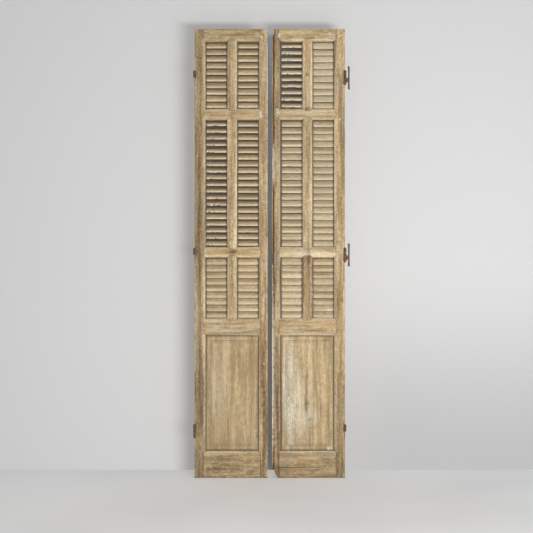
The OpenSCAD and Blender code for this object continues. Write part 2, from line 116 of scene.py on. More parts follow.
class Tint:
    """A socket in a finish. Sums written on it add the nodes that work them out."""

    def __init__(self, tree, socket=None):
        self.tree = tree
        self.socket = socket

    def add(self, kind, settings=None, sockets=None, out=0):
        made = self.tree.nodes.new(kind)
        for name, value in (settings or {}).items():
            setattr(made, name, value)
        for key, value in (sockets or {}).items():
            if isinstance(value, Tint):
                self.tree.links.new(value.socket, made.inputs[key])
            else:
                made.inputs[key].default_value = value
        return Tint(self.tree, made.outputs[out] if made.outputs else None)

    def sum(self, operation, first, second):
        return self.add("ShaderNodeMath", {"operation": operation}, {0: first, 1: second})

    def __add__(self, other):
        return self.sum("ADD", self, other)

    __radd__ = __add__

    def __sub__(self, other):
        return self.sum("SUBTRACT", self, other)

    def __rsub__(self, other):
        return self.sum("SUBTRACT", other, self)

    def __mul__(self, other):
        return self.sum("MULTIPLY", self, other)

    __rmul__ = __mul__

    def most(self, other):
        return self.sum("MAXIMUM", self, other)

    def rise(self, low, high):
        """0 below low, 1 above high and a smooth step between; low may be the greater."""
        return self.add(
            "ShaderNodeMapRange",
            {"interpolation_type": "SMOOTHSTEP"},
            {"Value": self, "From Min": low, "From Max": high},
        )

    def mark(self, name):
        """A value that was written on the piece's points."""
        return self.add("ShaderNodeAttribute", {"attribute_name": name}, out="Fac")

    def move(self, operation, first, second):
        return self.add("ShaderNodeVectorMath", {"operation": operation}, {0: first, 1: second})

    def cloud(self, place, scale, detail=3, rough=0.55, out="Fac"):
        sockets = {"Vector": place, "Scale": scale, "Detail": detail, "Roughness": rough}
        return self.add("ShaderNodeTexNoise", {}, sockets, out)

    def stain(self, ground, colour, amount, way="MIX"):
        """The ground colour with another laid over it."""
        settings = {"data_type": "RGBA", "blend_type": way}
        return self.add("ShaderNodeMix", settings, {0: amount, 6: ground, 7: colour}, out=2)

    def relief(self, height, strength, distance):
        sockets = {"Height": height, "Strength": strength, "Distance": distance}
        return self.add("ShaderNodeBump", {}, sockets)


def new_finish(name, recipe, one_sided=False):
    """A material whose surface has the sockets that the recipe works out; from behind it can be clear."""
    finish = bpy.data.materials.new(name)
    finish.use_nodes = True
    finish.node_tree.nodes.clear()
    start = Tint(finish.node_tree)
    surface = start.add("ShaderNodeBsdfPrincipled", {}, recipe(start))
    if one_sided:
        behind = start.add("ShaderNodeNewGeometry", out="Backfacing")
        clear = start.add("ShaderNodeBsdfTransparent")
        surface = start.add("ShaderNodeMixShader", {}, {0: behind, 1: surface, 2: clear})
    start.add("ShaderNodeOutputMaterial", {}, {"Surface": surface})
    return finish


# Finishes

# How wide the fibres and the flecks of the wood are, as a share of their length
FIBRE_W = 0.06
FLECK_W = 0.5
# How far each piece's seed shifts its pattern, and how far the grain wanders
SEED_SHIFT = (7.3, 3.1, 5.7)
WANDER = (0.02, 0.02, 0.02)
# How close to another face the painted shade of corners reaches, how high the floor's soil reaches, and how
# deep the grain is
NOOK = 0.016
SOIL_HEIGHT = 0.30
GRAIN_DEPTH = 0.0008


def pine(grain, pale, ground, brown, greying, figure):
    """Old bare pine with its grain along one axis, weathered, stained and here and there still painted, with
    shade painted into its corners and creases and a painted highlight on its chamfers.
    """
    fine = (1, 1, FIBRE_W) if grain == UP else (FIBRE_W, 1, 1)
    short = (1, 1, FLECK_W) if grain == UP else (FLECK_W, 1, 1)

    def recipe(t):
        place = t.add("ShaderNodeTexCoord", out="Object")
        seed, tone = t.mark("seed"), t.mark("tone")
        wear, paint = t.mark("wear"), t.mark("paint")
        shift = t.add("ShaderNodeCombineXYZ", {}, {i: seed * far for i, far in enumerate(SEED_SHIFT)})
        board = t.move("ADD", place, shift)
        wander = t.move("MULTIPLY", t.cloud(board, 3, 2, out="Color"), WANDER)
        bent = t.move("ADD", board, wander)
        fibre = t.move("MULTIPLY", bent, fine)
        fleck = t.move("MULTIPLY", bent, short)
        rings = t.cloud(fibre, 105, 3, 0.6)
        bands = t.cloud(fibre, 34, 2, 0.5)
        hairs = t.cloud(fibre, 520, 3, 0.7)
        mottle = t.cloud(fleck, 85, 4, 0.65)
        specks = t.cloud(fleck, 125, 3, 0.6)
        grit = t.cloud(board, 120, 3, 0.6)
        broad = t.cloud(board, 5, 3, 0.55)
        checks = t.cloud(fibre, 260, 1, 0.4).rise(0.68, 0.74)
        colour = t.stain(brown, ground, rings.rise(0.36, 0.60))
        colour = t.stain(colour, pale, (mottle * 0.55 + bands * 0.45).rise(0.42, 0.66) * 0.8)
        colour = t.stain(colour, RED_PINE, (broad + t.mark("blush")).rise(0.50, 0.75) * 0.5)
        colour = t.stain(colour, GREY_PINE, broad.rise(0.50, 0.30) * greying)
        drift = mottle * 0.4 + bands * 0.6
        # Bleached wood, and the painted highlight on the chamfers
        colour = t.stain(colour, BLEACHED_AND_HIGHLIGHT, t.mark("bleach_and_highlight") * drift.rise(0.20, 0.60))
        colour = t.stain(colour, KNOT, t.mark("stain") * drift.rise(0.80, 0.30))
        colour = t.stain(colour, KNOT, specks.rise(0.60, 0.72) * 0.45 * figure)
        colour = t.stain(colour, GRIME_AND_SHADE, checks * 0.4)
        colour = t.stain(colour, pale, wear * mottle.rise(0.20, 0.50) * 0.75)
        low = t.add("ShaderNodeSeparateXYZ", {}, {0: place}, out="Z")
        soil = low.rise(SOIL_HEIGHT, 0.0) * (broad + mottle * 0.5).rise(0.95, 0.6)
        colour = t.stain(colour, GRIME_AND_SHADE, soil * 0.3)
        # Painted shade: darker in corners and creases, by how near other faces are, joined with the marked
        # dirt and painted shade
        nook = t.add(
            "ShaderNodeAmbientOcclusion", {"samples": 4}, {"Distance": NOOK}, out="AO"
        ).rise(0.72, 0.25)
        dirt_and_shade = t.mark("dirt_and_shade").most(nook) * (mottle + 0.35).rise(0.2, 0.9)
        colour = t.stain(colour, GRIME_AND_SHADE, dirt_and_shade * 0.75)
        streaks = (hairs - 0.5) * 0.5 + (bands - 0.5) * 0.7 + (rings - 0.5) * 0.4
        light = 1 + tone * 0.5 + streaks * figure + (grit - 0.5) * figure ** 2
        tinted = t.add("ShaderNodeCombineColor", {}, {0: light, 1: light, 2: light})
        colour = t.stain(colour, tinted, 1.0, "MULTIPLY")
        flakes = (t.cloud(fleck, 140, 6, 0.75) + paint * 0.5).rise(0.72, 0.90)
        colour = t.stain(colour, OLD_PAINT, flakes * 0.8)
        height = rings * 0.4 + hairs * 0.6 - checks * 0.8 + flakes * 0.3
        return {
            "Base Color": colour,
            "Roughness": 0.72 + mottle * 0.2 - flakes * 0.12,
            "Specular IOR Level": 0.25,
            "Normal": t.relief(height, 0.5, GRAIN_DEPTH),
        }

    return recipe


# How deep the scale on the iron is broken
SCALE_DEPTH = 0.0008


def rust(scale_colour):
    """Iron that has rusted dark, with a flaking scale and paler crusts."""

    def recipe(t):
        place = t.add("ShaderNodeTexCoord", out="Object")
        crust = t.cloud(place, 90, 6, 0.65)
        bloom = t.cloud(place, 32, 4, 0.6)
        pits = t.cloud(place, 480, 3, 0.6)
        colour = t.stain(DARK_RUST, scale_colour, crust.rise(0.42, 0.62))
        colour = t.stain(colour, DRY_RUST, bloom.rise(0.58, 0.75) * 0.6)
        return {
            "Base Color": colour,
            "Metallic": crust.rise(0.5, 0.3) * 0.35,
            "Roughness": 0.62 + crust * 0.3,
            "Normal": t.relief(crust + pits * 0.5, 0.6, SCALE_DEPTH),
        }

    return recipe


# Where the wall is painted duller, as shade, going right and going down
SHADE_RIGHT = (-0.2, 0.8)
SHADE_DOWN = (1.2, 0.05)
# Where it lies hidden behind the pair and is given painted shade, by the square of the way from the middle
# and by the height, and where that shade is dark on both sides of the gap, by that square
HIDDEN_WITHIN = (0.152, 0.130)
HIDDEN_BELOW = (2.44, 2.39)
DARK_FROM_GAP = (-0.0012, 0.0025)
# The share of its glow that it loses there, as painted shade, and the depth of the paint's texture
GLOW_LOST = 0.9
ROLLER_DEPTH = 0.0006


def studio_paint(grey, glow, shaded, shade_behind):
    """Flat pale paint with a faint roller texture, lifted by a glow as it is seen. It has painted shade: it
    can be duller low down on the right, dark behind the leaves, where little light gets, and cool grey
    behind the gap."""

    def recipe(t):
        seen = t.add("ShaderNodeLightPath", out="Is Camera Ray")
        seen = seen.most(t.add("ShaderNodeLightPath", out="Is Glossy Ray"))
        seen = seen.most(t.add("ShaderNodeLightPath", out="Is Transmission Ray"))
        place = t.add("ShaderNodeTexCoord", out="Object")
        speckle = t.cloud(place, 180, 4, 0.6)
        broad = t.cloud(place, 0.7, 2, 0.5)
        side = t.add("ShaderNodeSeparateXYZ", {}, {0: place}, out="X")
        up = t.add("ShaderNodeSeparateXYZ", {}, {0: place}, out="Z")
        # Painted shade: duller low down on the right
        low_shade = side.rise(*SHADE_RIGHT) * up.rise(*SHADE_DOWN) * shaded
        middle = side * side
        # Painted shade behind the pair: cool grey behind the gap, dark behind each leaf, and without the
        # glow
        hidden = middle.rise(*HIDDEN_WITHIN) * up.rise(*HIDDEN_BELOW) * shade_behind
        dark = hidden * middle.rise(*DARK_FROM_GAP)
        ground = t.stain(grey, WALL_GREY, broad.rise(0.35, 0.7) * 0.3)
        ground = t.stain(ground, LOW_SHADE_GREY, low_shade)
        ground = t.stain(ground, GAP_SHADE_GREY, hidden)
        return {
            "Base Color": t.stain(ground, DEEP_SHADE, dark),
            "Emission Color": t.stain((0, 0, 0, 1), grey, seen * (1 - hidden * GLOW_LOST)),
            "Emission Strength": glow,
            "Roughness": 0.9,
            "Specular IOR Level": 0.2,
            "Normal": t.relief(speckle, 0.15, ROLLER_DEPTH),
        }

    return recipe


PLAIN_WOOD = (PALE_PINE, PINE, BROWN_PINE)
PANEL_WOOD = (PALE_PINE, PINE, TAN_PINE)
SLAT_WOOD = (CREAM_PINE, PINE, TAN_PINE)
PEG_WOOD = (PINE, BROWN_PINE, KNOT)
UPRIGHT_PINE = new_finish("upright_pine", pine(UP, *PLAIN_WOOD, greying=0.3, figure=1.15))
LEVEL_PINE = new_finish("level_pine", pine(ACROSS, *PLAIN_WOOD, greying=0.3, figure=0.85))
SMOOTH_PINE = new_finish("smooth_pine", pine(UP, *PANEL_WOOD, greying=0.2, figure=0.5))
STREAKY_PINE = new_finish("streaky_pine", pine(UP, *PANEL_WOOD, greying=0.2, figure=0.85))
SLAT_PINE = new_finish("slat_pine", pine(ACROSS, *SLAT_WOOD, greying=0.5, figure=0.45))
PEG_PINE = new_finish("peg_pine", pine(ACROSS, *PEG_WOOD, greying=0.3, figure=1.0))
RUSTY_IRON = new_finish("rusty_iron", rust(RED_RUST))
DARK_IRON = new_finish("dark_iron", rust(BROWN_RUST))
FLOOR_PAINT = new_finish("floor_paint", studio_paint(FLOOR_GREY, glow=0.16, shaded=0.0, shade_behind=0.0))
WALL_PAINT = new_finish(
    "wall_paint", studio_paint(WALL_GREY, glow=0.32, shaded=0.9, shade_behind=1.0), one_sided=True
)


# Weathered pieces, each made from the solid that it stands for

def both_leaves(*names):
    return [f"{side}_{name}" for side in ("left", "right") for name in names]


STILES = both_leaves("hinge_stile", "meeting_stile")
MULLIONS = both_leaves("upper_mullion", "middle_mullion", "lower_mullion")
PANELS = both_leaves("panel")
RAILS = both_leaves("top_rail", "upper_rail", "middle_rail", "lock_rail", "bottom_rail")
TIMBERS = STILES + MULLIONS + PANELS + RAILS

# How far each piece's wood is darker (below 0) or paler than the rest
TONES = {
    "left_hinge_stile": -0.48,
    "left_meeting_stile": -0.12,
    "left_upper_mullion": -0.25,
    "left_middle_mullion": 0.00,
    "left_lower_mullion": -0.24,
    "left_top_rail": -0.30,
    "left_upper_rail": -0.02,
    "left_middle_rail": 0.20,
    "left_lock_rail": -0.18,
    "left_bottom_rail": -0.20,
    "left_panel": -0.26,
    "right_hinge_stile": -0.26,
    "right_meeting_stile": -0.38,
    "right_upper_mullion": 0.18,
    "right_middle_mullion": -0.32,
    "right_lower_mullion": -0.45,
    "right_top_rail": -0.12,
    "right_upper_rail": 0.04,
    "right_middle_rail": 0.02,
    "right_lock_rail": -0.12,
    "right_bottom_rail": -0.20,
    "right_panel": -0.20,
}
# How much redder than the rest the heart of a piece is
BLUSHES = {
    "left_upper_mullion": 0.12,
    "left_meeting_stile": 0.10,
    "right_meeting_stile": 0.14,
    "right_lower_mullion": 0.25,
    "right_lock_rail": 0.08,
    "right_bottom_rail": 0.08,
}

# How near another piece lies where a seam is
SEAM = 0.001
# Lines of painted shade round a panel: how far in from its hidden edge, how wide to each side, how strong
MOULDING_SHADE_LINES = [(0.0095, 0.0105, 1.0), (0.037, 0.0035, 0.6), (0.047, 0.003, 0.3)]
# The depth of the right leaf's lip behind its stile's face, and how far in from its edge its painted shade
# goes from none to full
LIP_DEPTH = (0.007, 0.014)
LIP_CORNER = (0.0025, 0.0055)
# The dirty line at the left and at the right end of each rail: how wide, how broad its darkest part is,
# how far from the opening's side, and how strong
SHOULDER = 0.0045
SHOULDER_CORE = 1.6
CHAMFER_W = 0.011
SHOULDERS = {
    "left_top_rail": (0.8, 0.7),
    "left_upper_rail": (0.3, 0.4),
    "left_middle_rail": (0.3, 0.5),
    "left_lock_rail": (0.4, 0.8),
    "left_bottom_rail": (0.4, 1.0),
    "right_top_rail": (0.5, 0.6),
    "right_upper_rail": (0.4, 0.3),
    "right_middle_rail": (0.7, 0.4),
    "right_lock_rail": (0.4, 0.4),
    "right_bottom_rail": (1.0, 0.9),
}
# Dirt and painted shade fainter than this are left out
FAINT = 0.01

# Marks on the front of the wood: x and z of the middle, the reach in x and in z, and the strength

PAINT_MARKS = [
    (-0.0135, 2.05, 0.004, 0.40, 0.95),
    (-0.046, 1.945, 0.015, 0.04, 0.80),
    (-0.046, 2.355, 0.012, 0.03, 0.70),
    (0.042, 1.953, 0.022, 0.04, 0.78),
    (0.021, 1.68, 0.010, 0.18, 1.05),
    (-0.016, 1.42, 0.005, 0.06, 0.90),
    (-0.314, 1.48, 0.022, 0.24, 0.62),
    (0.018, 0.58, 0.011, 0.75, 0.90),
    (0.375, 1.916, 0.011, 0.011, 1.00),
    (0.050, 2.368, 0.010, 0.03, 0.80),
    (0.330, 2.372, 0.07, 0.02, 0.65),
    (0.372, 2.365, 0.008, 0.02, 0.80),
    (0.322, 0.157, 0.03, 0.02, 0.70),
    (0.316, 0.898, 0.03, 0.008, 1.00),
    (-0.033, 0.61, 0.008, 0.016, 0.90),
    (-0.046, 0.28, 0.005, 0.07, 0.85),
    (-0.290, 0.845, 0.08, 0.010, 0.50),
    (0.226, 0.97, 0.008, 0.14, 0.65),
    (0.108, 0.35, 0.045, 0.20, 0.62),
]

BLEACH_MARKS = [
    (0.112, 0.44, 0.062, 0.36, 1.20),
    (0.205, 0.33, 0.07, 0.09, 0.80),
    (0.170, 0.36, 0.09, 0.22, 0.45),
    (-0.270, 0.50, 0.06, 0.30, 0.40),
    (-0.168, 0.404, 0.014, 0.014, 0.60),
    (-0.300, 0.82, 0.06, 0.04, 0.35),
    (0.200, 1.95, 0.15, 0.03, 0.45),
    (0.200, 1.205, 0.16, 0.03, 0.70),
    (0.365, 1.21, 0.03, 0.05, 0.40),
    (0.110, 0.725, 0.05, 0.03, 0.50),
]

STAIN_MARKS = [
    (0.196, 0.54, 0.009, 0.22, 1.10),
    (0.196, 0.40, 0.013, 0.07, 1.10),
    (-0.165, 0.62, 0.012, 0.16, 0.40),
    (-0.204, 0.842, 0.022, 0.020, 0.55),
    (0.205, 0.815, 0.020, 0.040, 0.45),
    (-0.300, 0.045, 0.080, 0.014, 1.00),
    (-0.105, 0.030, 0.030, 0.016, 1.10),
    (0.035, 0.035, 0.030, 0.060, 0.80),
    (0.198, 2.155, 0.014, 0.014, 1.30),
    (0.202, 1.972, 0.022, 0.014, 1.20),
    (-0.199, 1.945, 0.022, 0.014, 0.50),
    (-0.036, 1.157, 0.009, 0.009, 1.00),
    (-0.199, 1.209, 0.026, 0.020, 1.00),
    (0.208, 1.185, 0.014, 0.050, 1.00),
    (0.140, 0.375, 0.012, 0.012, 0.60),
    (0.112, 0.760, 0.010, 0.012, 0.60),
    (0.212, 0.310, 0.020, 0.012, 0.60),
    (-0.374, 1.50, 0.012, 1.00, 0.70),
    (-0.374, 0.50, 0.016, 0.50, 0.70),
    (-0.034, 0.42, 0.040, 0.46, 0.75),
    (0.042, 0.46, 0.022, 0.44, 1.20),
    (0.385, 0.45, 0.022, 0.45, 0.35),
    (0.388, 0.955, 0.008, 0.022, 1.10),
    (0.042, 1.02, 0.024, 0.17, 0.85),
]

# The chamfers round the openings get a painted highlight, paler than the faces: how far their faces turn
# from the front
CHAMFER_TURN = (0.74, 0.88)
CHAMFER_HIGHLIGHT = 0.45

# The lengths into which a timber is cut going up and across, the length up to which its arrises stay sharp,
# and the angle, in degrees, from which an edge is an arris
ROW = 0.009
COLUMN = 0.009
SHORTEST_ARRIS = 0.006
ARRIS_ANGLE = 25
# Points that lie closer than this are one, and so are faces that turn by fewer degrees
WELD = 1e-6
FLAT = 0.5
# How many nicks, breaks and waves there are to the metre across the grain, and the share of them along it
NICKS = 70
BREAKS = 23
WAVES = 14
ALONG_GRAIN = 0.35
# How much a nick counts against a break, and how much of both an arris stands before it shows
NICK_SHARE = 1.4
SOUND_ARRIS = 0.35
# How far a piece's seed shifts where it is broken
BREAK_SHIFT = (3.7, 1.9, 2.3)


def mark_at(point, marks):
    """How strongly the marks lie on a point of the front."""
    strength = 0
    for x, z, reach_x, reach_z, most in marks:
        away = ((point.x - x) / reach_x) ** 2 + ((point.z - z) / reach_z) ** 2
        strength = max(strength, most * (1 - away))
    return strength if point.y < 0 else 0


def clean_copy(node):
    """The node's solid with its flat faces whole again."""
    bm = bmesh.new()
    bm.from_mesh(NODES[node].data)
    bmesh.ops.remove_doubles(bm, verts=bm.verts, dist=WELD)
    bmesh.ops.dissolve_limit(bm, angle_limit=math.radians(FLAT), verts=bm.verts, edges=bm.edges)
    return bm


def round_arrises(bm, radius, shortest):
    """Rounds the long sharp edges, and marks them as worn, or as darker, with dirt and painted shade, where
    they lie in a corner.
    """
    wear = bm.verts.layers.float.new("wear")
    dirt_and_shade = bm.verts.layers.float.new("dirt_and_shade")
    arrises = [
        edge
        for edge in bm.edges
        if len(edge.link_faces) == 2
        and edge.calc_length() > shortest
        and edge.calc_face_angle() > math.radians(ARRIS_ANGLE)
    ]
    made = bmesh.ops.bevel(
        bm, geom=arrises, offset=radius, offset_type="OFFSET", segments=2,
        profile=0.5, affect="EDGES", clamp_overlap=True,
    )
    rounded = set(made["faces"])
    bm.normal_update()
    for vert in {vert for face in rounded for vert in face.verts}:
        if not all(face in rounded for face in vert.link_faces):
            continue
        around = [edge.other_vert(vert).co for edge in vert.link_edges]
        hollow = (sum(around, Vector()) / len(around) - vert.co).dot(vert.normal)
        # Raised arrises are worn; hollow ones get dirt and painted shade
        vert[wear if hollow < 0 else dirt_and_shade] = 1.0


def slice_up(bm, axis, step):
    """Cuts the piece into even lengths along an axis, so that it can be worn and warped."""
    reach = [vert.co.dot(axis) for vert in bm.verts]
    low, high = min(reach), max(reach)
    count = int((high - low) / step)

    def halve(faces, first, last):
        if first > last or not faces:
            return
        middle = (first + last) // 2
        at = low + (high - low) * middle / count
        parts = dict.fromkeys(part for face in faces for part in (*face.verts, *face.edges))
        cut = bmesh.ops.bisect_plane(
            bm, geom=[*parts, *faces], plane_co=axis * at, plane_no=axis, dist=WELD,
        )
        faces = [part for part in cut["geom"] if isinstance(part, bmesh.types.BMFace)]
        below = [face for face in faces if face.calc_center_median().dot(axis) < at]
        above = [face for face in faces if face.calc_center_median().dot(axis) >= at]
        halve(below, first, middle - 1)
        halve(above, middle + 1, last)

    halve(bm.faces[:], 1, count - 1)


def weather(bm, grain, chip, wave, seed):
    """Lets the faces wander a little and breaks the arrises, mostly along the grain."""
    wear = bm.verts.layers.float["wear"]
    offset = Vector([seed * far for far in BREAK_SHIFT])
    bm.normal_update()
    for vert in bm.verts:
        lie = vert.co - grain * vert.co.dot(grain) * (1 - ALONG_GRAIN) + offset
        nicked = noise.noise(lie * NICKS) * NICK_SHARE
        broken = max(0, nicked + noise.noise(lie * BREAKS) - SOUND_ARRIS)
        push = wave * noise.noise(lie * WAVES) - chip * vert[wear] * broken
        vert.co += vert.normal * push


def soil_seams(bm, node, amount):
    """Dirt in place of wear along the arrises that another piece is fitted against."""
    wear = bm.verts.layers.float["wear"]
    dirt_and_shade = bm.verts.layers.float["dirt_and_shade"]
    low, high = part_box(node)
    for other in TIMBERS:
        foot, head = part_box(other)
        apart = any(foot[i] > high[i] + SEAM or head[i] < low[i] - SEAM for i in range(3))
        if other == node or apart:
            continue
        for vert in bm.verts:
            if vert[wear] and SHAPES[other].find_nearest(vert.co, SEAM)[0]:
                vert[wear] = 0
                vert[dirt_and_shade] = amount


def write_marks(bm, tone, blush, seed):
    """Writes the piece's tone, blush and seed, the marks on its front and a painted highlight on its
    chamfers, on its points.
    """
    layers = bm.verts.layers.float
    tones, seeds, blushes = layers.new("tone"), layers.new("seed"), layers.new("blush")
    paint, bleach_and_highlight, stain = layers.new("paint"), layers.new("bleach_and_highlight"), layers.new("stain")
    for vert in bm.verts:
        vert[tones] = tone
        vert[seeds] = seed
        vert[blushes] = blush
        vert[paint] = mark_at(vert.co, PAINT_MARKS)
        vert[bleach_and_highlight] = mark_at(vert.co, BLEACH_MARKS)
        vert[stain] = mark_at(vert.co, STAIN_MARKS)
    # Painted highlight on the faces of the chamfers, by how far they turn from the front
    low, high = CHAMFER_TURN
    bm.normal_update()
    for face in bm.faces:
        if low < -face.normal.y < high:
            for vert in face.verts:
                vert[bleach_and_highlight] = max(vert[bleach_and_highlight], CHAMFER_HIGHLIGHT)


def add_piece(bm, node, finish, sharp=35):
    """The finished piece, in place of its node. Edges that turn by more than sharp degrees stay crisp."""
    mesh = bpy.data.meshes.new(node + "_aged")
    bm.to_mesh(mesh)
    bm.free()
    mesh.polygons.foreach_set("use_smooth", [True] * len(mesh.polygons))
    mesh.set_sharp_from_angle(angle=math.radians(sharp))
    mesh.materials.append(finish)
    piece = bpy.data.objects.new(node + "_aged", mesh)
    bpy.context.scene.collection.objects.link(piece)
    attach(piece, BODY_OF[node])
    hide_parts(node)
    return piece


def cut_at(bm, axis, places):
    """Cuts the piece right through at each place along an axis."""
    for at in places:
        parts = [*bm.verts, *bm.edges, *bm.faces]
        bmesh.ops.bisect_plane(bm, geom=parts, plane_co=axis * at, plane_no=axis, dist=WELD)


def shade_moulding(bm, node):
    """Painted shade along a panel's edge in the frame, and along the step and the head of its moulding."""
    wear = bm.verts.layers.float["wear"]
    dirt_and_shade = bm.verts.layers.float["dirt_and_shade"]
    low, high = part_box(node)
    edges = [line + way * reach for line, reach, _ in MOULDING_SHADE_LINES for way in (-1, 0, 1)]
    cut_at(bm, ACROSS, [low.x + edge for edge in edges] + [high.x - edge for edge in edges])
    cut_at(bm, UP, [low.z + edge for edge in edges] + [high.z - edge for edge in edges])
    # Painted shade along the lines round the panel
    for vert in bm.verts:
        inside = min(vert.co.x - low.x, high.x - vert.co.x, vert.co.z - low.z, high.z - vert.co.z)
        for line, reach, amount in MOULDING_SHADE_LINES:
            near = 1 - abs(inside - line) / reach
            if near > FAINT and vert.co.y < 0:
                vert[wear] = 0
                vert[dirt_and_shade] = max(vert[dirt_and_shade], amount * near)


def soil_shoulders(bm, node):
    """A dirty line along each end of a rail, where its shoulder has drawn back from the stile."""
    dirt_and_shade = bm.verts.layers.float["dirt_and_shade"]
    side = node.split("_")[0]
    outer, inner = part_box(side + "_hinge_stile"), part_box(side + "_meeting_stile")
    inward = (outer[1].x, inner[0].x) if side == "left" else (inner[1].x, outer[0].x)
    ends = (inward[0] - CHAMFER_W, inward[1] + CHAMFER_W)
    cut_at(bm, ACROSS, [ends[0] + way * SHOULDER for way in (0, 1)] + [ends[1] - SHOULDER, ends[1]])
    for vert in bm.verts:
        for end, amount in zip(ends, SHOULDERS[node]):
            near = 1 - abs(vert.co.x - end) / SHOULDER
            if near > FAINT and vert.co.y < 0:
                vert[dirt_and_shade] = max(vert[dirt_and_shade], amount * min(1, SHOULDER_CORE * near))


def shade_lip(bm, node):
    """Painted shade on the right leaf's lip, in the corner that the lip makes with its stile."""
    dirt_and_shade = bm.verts.layers.float["dirt_and_shade"]
    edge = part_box(node)[0]
    low, high = LIP_DEPTH
    cut_at(bm, ACROSS, [edge.x + inside for inside in LIP_CORNER])
    # Painted shade where the stile's step shadows the lip
    for vert in bm.verts:
        if low < vert.co.y - edge.y < high and vert.co.x > edge.x + LIP_CORNER[0] + SEAM:
            vert[dirt_and_shade] = 1.0


def aged_timber(node, grain, finish, arris=0.0013, seam_dirt=1.0, chip=0.003, wave=0.0006):
    """A stile, rail, mullion or panel with worn arrises, dirty seams and wandering faces, and painted shade
    round the panels and on the right leaf's lip.
    """
    seed = random.Random(node).random()
    bm = clean_copy(node)
    round_arrises(bm, arris, SHORTEST_ARRIS)
    soil_seams(bm, node, seam_dirt)
    slice_up(bm, ACROSS, COLUMN)
    slice_up(bm, UP, ROW)
    if node in PANELS:
        shade_moulding(bm, node)
    if node in RAILS:
        soil_shoulders(bm, node)
    if node == "right_meeting_stile":
        shade_lip(bm, node)
    weather(bm, grain, chip, wave, seed)
    write_marks(bm, TONES[node], BLUSHES.get(node, 0), seed)
    return add_piece(bm, node, finish)


SHAPES = {}
for node in TIMBERS:
    solid = clean_copy(node)
    SHAPES[node] = BVHTree.FromBMesh(solid)
    solid.free()
for node in STILES:
    aged_timber(node, UP, UPRIGHT_PINE, seam_dirt=0.5)
for node in MULLIONS:
    aged_timber(node, UP, UPRIGHT_PINE, seam_dirt=0.3)
aged_timber("left_panel", UP, SMOOTH_PINE)
aged_timber("right_panel", UP, STREAKY_PINE)
for node in RAILS:
    aged_timber(node, ACROSS, LEVEL_PINE, arris=0.0018, seam_dirt=0.5)


# Slats

# The pivot at each end of a slat, how far in the dirt and painted shade reach there, and how much of the
# corners is worn off
PIVOT = 0.010
END_DIRT_AND_SHADE = 0.007
END_WEAR = 0.005
# How much further that darkening reaches at the right end, where it is a painted shadow of the stile: at the
# nosing, and what the back adds to it
END_SHADOW_SPREAD = (0.8, 1.2)
# As shares of a slat's depth: where its pale nosing fades, from full to none, and two cuts further back
NOSING = (0.16, 0.28)
BACK_CUTS = (0.6, 0.8)
# How far single slats differ in slope, in degrees, and in tone
SLOPE_SPREAD = 1.6
TONE_SPREAD = 0.09
# How much paler a column is than the rest, how bleached, and how fast painted shade gathers behind its
# nosing, with what the other columns have and the curve by which it gathers
SLAT_TONES = {
    "left_lower_outer_slats": -0.18,
    "left_lower_inner_slats": -0.05,
    "right_lower_outer_slats": -0.24,
    "right_lower_inner_slats": -0.13,
    "right_upper_inner_slats": 0.15,
    "right_upper_outer_slats": -0.10,
    "right_middle_outer_slats": -0.19,
}
SLAT_BLEACH = {
    "right_upper_outer_slats": 0.55,
    "right_upper_inner_slats": 0.60,
    "right_middle_outer_slats": 0.30,
    "right_middle_inner_slats": 0.35,
    "right_lower_inner_slats": 0.15,
}
SLAT_BACK_SHADE = {
    "left_upper_outer_slats": 0.95,
    "left_upper_inner_slats": 1.05,
    "left_lower_outer_slats": 0.5,
    "left_lower_inner_slats": 0.4,
    "right_lower_outer_slats": 0.4,
    "right_lower_inner_slats": 0.5,
    "right_upper_inner_slats": 3.2,
    "right_upper_outer_slats": 1.0,
    "right_middle_outer_slats": 0.8,
    "left_middle_outer_slats": 1.6,
    "left_middle_inner_slats": 1.5,
}
PLAIN_BACK_SHADE = 1.2
BACK_SHADE_CURVE = 1.7
# How far the nosings are chipped, and the lengths into which the slats are cut for it
CHIPPED = 0.016
PLAIN_CHIP = 0.0015
CHIPS = {"right_upper_inner_slats": CHIPPED, "left_middle_outer_slats": CHIPPED * 0.75}
CHIPPED_STEP = 0.003
PLAIN_STEP = 1.5 * CHIPPED_STEP
# How many nicks a nosing has to the metre, how far apart the slats lie in the noise, how much finer the fine
# nicks are, how deep both kinds are, and how much of both a nosing stands before it shows
SLAT_NICKS = 60
SLATS_APART = 40
FINER = 2.7
COARSE_NICK = 1.4
FINE_NICK = 1.8
SOUND_NOSING = 0.2
# On the chipped columns the nicks get shallower to the right: where they start, how fast, and the least
RAGGED_LEFT = 1.7
RAGGED_FALL = 2
LEAST_RAGGED = 0.15
# How much old paint is left on a chipped nosing, and the share of it that needs no nick
FLAKED = 0.72
FLAKED_WHOLE = 0.7


def slats_of(bm):
    """The points of each slat of a column, from the lowest slat up."""
    found = set()
    groups = []
    for start in bm.verts:
        if start in found:
            continue
        found.add(start)
        group = [start]
        for vert in group:
            joined = [edge.other_vert(vert) for edge in vert.link_edges]
            fresh = [other for other in joined if other not in found]
            found.update(fresh)
            group += fresh
        groups.append(group)
    return sorted(groups, key=lambda group: min(vert.co.z for vert in group))


def nick_at(node, along, x, seed):
    """How deep a slat's nosing is nicked at x, which lies a share of the way along it."""
    lie = Vector((x * SLAT_NICKS, seed * SLATS_APART, 0))
    nick = max(0, noise.noise(lie) * COARSE_NICK + noise.noise(lie * FINER) * FINE_NICK - SOUND_NOSING)
    if node in CHIPS:
        nick *= max(LEAST_RAGGED, min(1, RAGGED_LEFT - RAGGED_FALL * along))
    return nick


